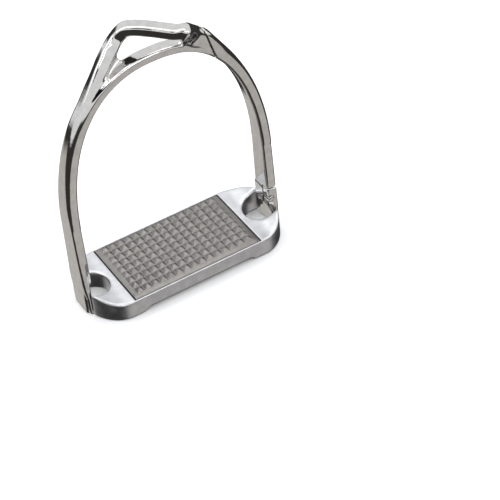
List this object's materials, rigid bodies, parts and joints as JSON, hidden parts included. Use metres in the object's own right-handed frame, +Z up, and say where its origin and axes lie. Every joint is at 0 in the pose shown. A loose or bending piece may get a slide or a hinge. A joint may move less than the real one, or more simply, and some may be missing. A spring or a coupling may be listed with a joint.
{
  "type": "stirrup iron",
  "caption": "Metal riding stirrup with a studded tread, a turned strap eye and a hinged outer arm that swings open to release the foot.",
  "frame": {"origin": "on the ground under the middle of the tread", "axes": "+X towards the release arm, -Y to the front of the tread, +Z up towards the strap eye"},
  "size_m": [0.1336, 0.0536, 0.175],
  "materials": {
    "satin_steel": "satin",
    "polished_steel": "mirror polished",
    "pin_steel": "turned",
    "magnet_metal": "plated",
    "grip_metal": "matte cast"
  },
  "bodies": {
    "frame": {"tread_body": "satin_steel", "bow": "polished_steel", "hinge_post": "polished_steel", "hinge_pin": "pin_steel", "bow_magnet": "magnet_metal", "grip_plate": "grip_metal", "plate_screw_1": "pin_steel", "plate_screw_2": "pin_steel", "plate_screw_3": "pin_steel", "plate_screw_4": "pin_steel"},
    "arm": {"release_arm": "polished_steel", "locating_peg": "pin_steel", "arm_magnet": "magnet_metal"}
  },
  "joints": [
    {"name": "arm_hinge", "type": "hinge", "parent": "frame", "child": "arm", "pos_m": [0.0622, 0, 0.022], "axis": [0, 1, 0], "range_deg": [0, 110]}
  ]
}
